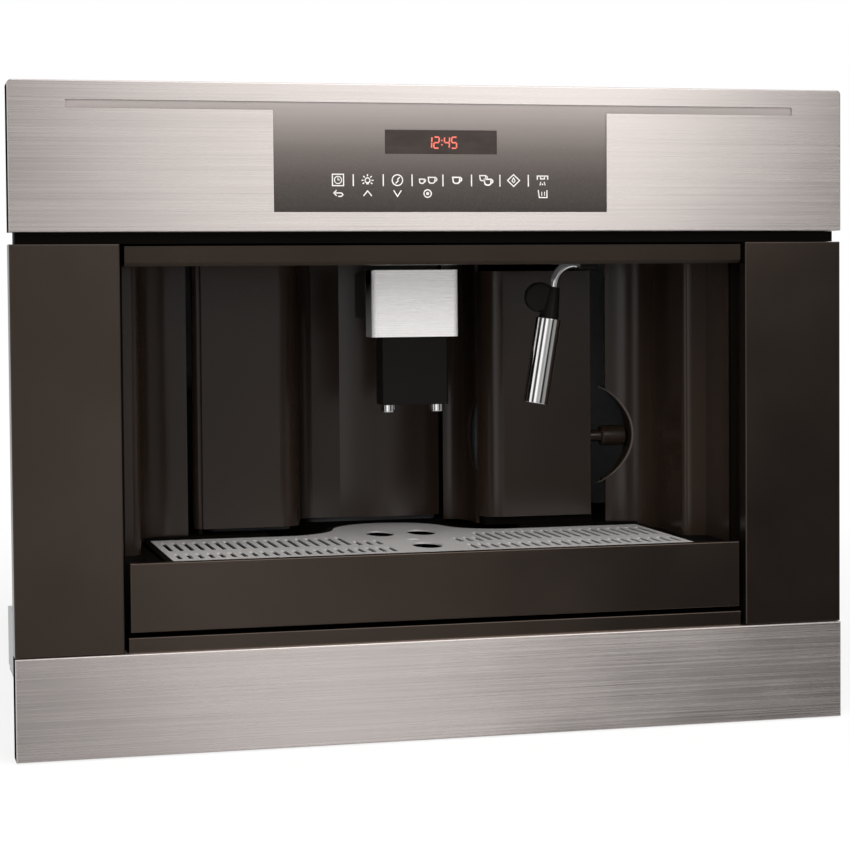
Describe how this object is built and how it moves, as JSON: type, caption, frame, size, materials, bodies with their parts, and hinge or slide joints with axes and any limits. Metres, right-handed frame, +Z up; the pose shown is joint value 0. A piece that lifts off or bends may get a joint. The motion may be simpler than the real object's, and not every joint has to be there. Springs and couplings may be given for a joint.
{
  "type": "built in coffee machine",
  "caption": "Built-in bean-to-cup coffee machine: steel front with touch controls above an open cup bay with spout, steam wand, drip tray and water tank.",
  "frame": {"origin": "centre of the machine's bounding box, on the niche floor under the mounting strips", "axes": "+X to the right seen from the front, -Y out of the niche towards the user, +Z up"},
  "size_m": [0.594, 0.412, 0.456],
  "materials": {
    "front_steel": "fine horizontal brushing, satin",
    "cover_steel": "brushed, bright",
    "grille_steel": "stamped stainless sheet, satin",
    "chrome": "polished",
    "control_panel": "satin metallic, darker towards the bottom",
    "display_glass": "smoked, glossy",
    "dark_trim": "satin brown-black",
    "bay_plastic": "satin moulded, fine texture",
    "black_plastic": "satin moulded",
    "tank_clear": "clear, slightly smoked",
    "float_grey": "moulded",
    "lens": "frosted",
    "housing_steel": "zinc-plated sheet",
    "rail_steel": "zinc-plated, bright",
    "screw_steel": "zinc-plated",
    "aluminium": "cast",
    "burr_steel": "ground",
    "inner_plastic": "moulded",
    "circuit": "coated board",
    "hose": "silicone"
  },
  "bodies": {
    "mounting_base": {"base_ties": "housing_steel", "rail_outers": "rail_steel"},
    "rail_members": {"rail_middles": "rail_steel"},
    "machine": {"rail_inners": "rail_steel", "chassis_base": "housing_steel", "side_plate_left": "housing_steel", "side_plate_right": "housing_steel", "rear_cover": "housing_steel", "cover_screws": "screw_steel", "top_cover": "housing_steel", "bulkhead": "housing_steel", "front_frame": "black_plastic", "upper_front_panel": "front_steel", "control_insert": "control_panel", "display_window": "display_glass", "display_board": "circuit", "lower_front_panel": "front_steel", "side_trim_left": "dark_trim", "side_trim_right": "dark_trim", "lintel_bar": "dark_trim", "lower_sill": "dark_trim", "bay_cheek_left": "bay_plastic", "bay_cheek_right": "bay_plastic", "bay_wall_right": "bay_plastic", "tray_shelf": "bay_plastic", "upper_deck": "inner_plastic", "lamp_lens": "lens", "tank_bay": "inner_plastic", "wand_socket": "black_plastic", "bean_hopper": "inner_plastic", "grinder_housing": "inner_plastic", "grinder_motor": "inner_plastic", "coffee_funnel": "inner_plastic", "infuser_frame": "inner_plastic", "grounds_container": "inner_plastic", "boiler": "aluminium", "pump": "inner_plastic", "water_hoses": "hose", "power_board": "circuit", "inlet_unit": "black_plastic"},
    "drip_tray": {"drip_tray_tub": "bay_plastic", "drip_tray_front": "dark_trim"},
    "grille": {"cup_grille": "grille_steel"},
    "level_float": {"tray_float": "float_grey"},
    "service_door": {"door_shell": "bay_plastic", "door_pins": "rail_steel", "spout_cover": "cover_steel"},
    "coffee_spout": {"spout_body": "black_plastic", "spout_nozzles": "chrome"},
    "tank": {"water_tank": "tank_clear", "tank_front": "bay_plastic"},
    "steam_wand": {"wand_pipe": "chrome", "wand_sleeve": "black_plastic"},
    "sheath": {"froth_sheath": "chrome"},
    "hopper_cover": {"bean_lid": "black_plastic"},
    "powder_cover": {"funnel_lid": "black_plastic"},
    "grind_dial": {"grind_knob": "black_plastic"},
    "burr": {"grinder_burr": "burr_steel"},
    "brew_piston": {"infuser_piston": "inner_plastic"},
    "main_switch": {"switch_rocker": "black_plastic"}
  },
  "joints": [
    {"name": "machine_slide", "type": "slide", "parent": "mounting_base", "child": "machine", "axis": [0, -1, 0], "range_m": [0, 0.3]},
    {"name": "rail_middle_slide", "type": "slide", "parent": "mounting_base", "child": "rail_members", "axis": [0, -1, 0], "range_m": [0, 0.15]},
    {"name": "drip_tray_slide", "type": "slide", "parent": "machine", "child": "drip_tray", "axis": [0, -1, 0], "range_m": [0, 0.16]},
    {"name": "grille_lift", "type": "slide", "parent": "drip_tray", "child": "grille", "axis": [0, 0, 1], "range_m": [0, 0.0045]},
    {"name": "float_rise", "type": "slide", "parent": "drip_tray", "child": "level_float", "axis": [0, 0, 1], "range_m": [0, 0.006]},
    {"name": "service_door_hinge", "type": "hinge", "parent": "machine", "child": "service_door", "pos_m": [-0.148, -0.041, 0.236], "axis": [0, 0, -1], "range_deg": [0, 55]},
    {"name": "spout_slide", "type": "slide", "parent": "service_door", "child": "coffee_spout", "axis": [0, 0, 1], "range_m": [-0.008, 0.034]},
    {"name": "water_tank_slide", "type": "slide", "parent": "machine", "child": "tank", "axis": [0, -1, 0], "range_m": [0, 0.075]},
    {"name": "wand_swivel", "type": "hinge", "parent": "machine", "child": "steam_wand", "pos_m": [0.12, -0.14, 0.3325], "axis": [-1, 0, 0], "range_deg": [0, 50]},
    {"name": "froth_sheath_slide", "type": "slide", "parent": "steam_wand", "child": "sheath", "axis": [-0.165, 0, -0.9863], "range_m": [0, 0.012]},
    {"name": "bean_lid_hinge", "type": "hinge", "parent": "machine", "child": "hopper_cover", "pos_m": [-0.155, 0.192, 0.4495], "axis": [-1, 0, 0], "range_deg": [0, 95]},
    {"name": "funnel_lid_hinge", "type": "hinge", "parent": "machine", "child": "powder_cover", "pos_m": [0, 0.084, 0.4495], "axis": [-1, 0, 0], "range_deg": [0, 95]},
    {"name": "grind_dial_turn", "type": "hinge", "parent": "machine", "child": "grind_dial", "pos_m": [-0.062, 0.124, 0.449], "axis": [0, 0, 1], "range_deg": [-135, 135]},
    {"name": "burr_spin", "type": "hinge", "parent": "machine", "child": "burr", "pos_m": [-0.155, 0.134, 0.351], "axis": [0, 0, 1], "continuous": true},
    {"name": "brew_piston_lift", "type": "slide", "parent": "machine", "child": "brew_piston", "axis": [0, 0, 1], "range_m": [0, 0.03]},
    {"name": "main_switch_rock", "type": "hinge", "parent": "machine", "child": "main_switch", "pos_m": [0.228, 0.195, 0.045], "axis": [1, 0, 0], "range_deg": [0, 14]}
  ],
  "couplings": [
    {"joint": "rail_middle_slide", "follows": "machine_slide", "ratio": 0.5}
  ]
}
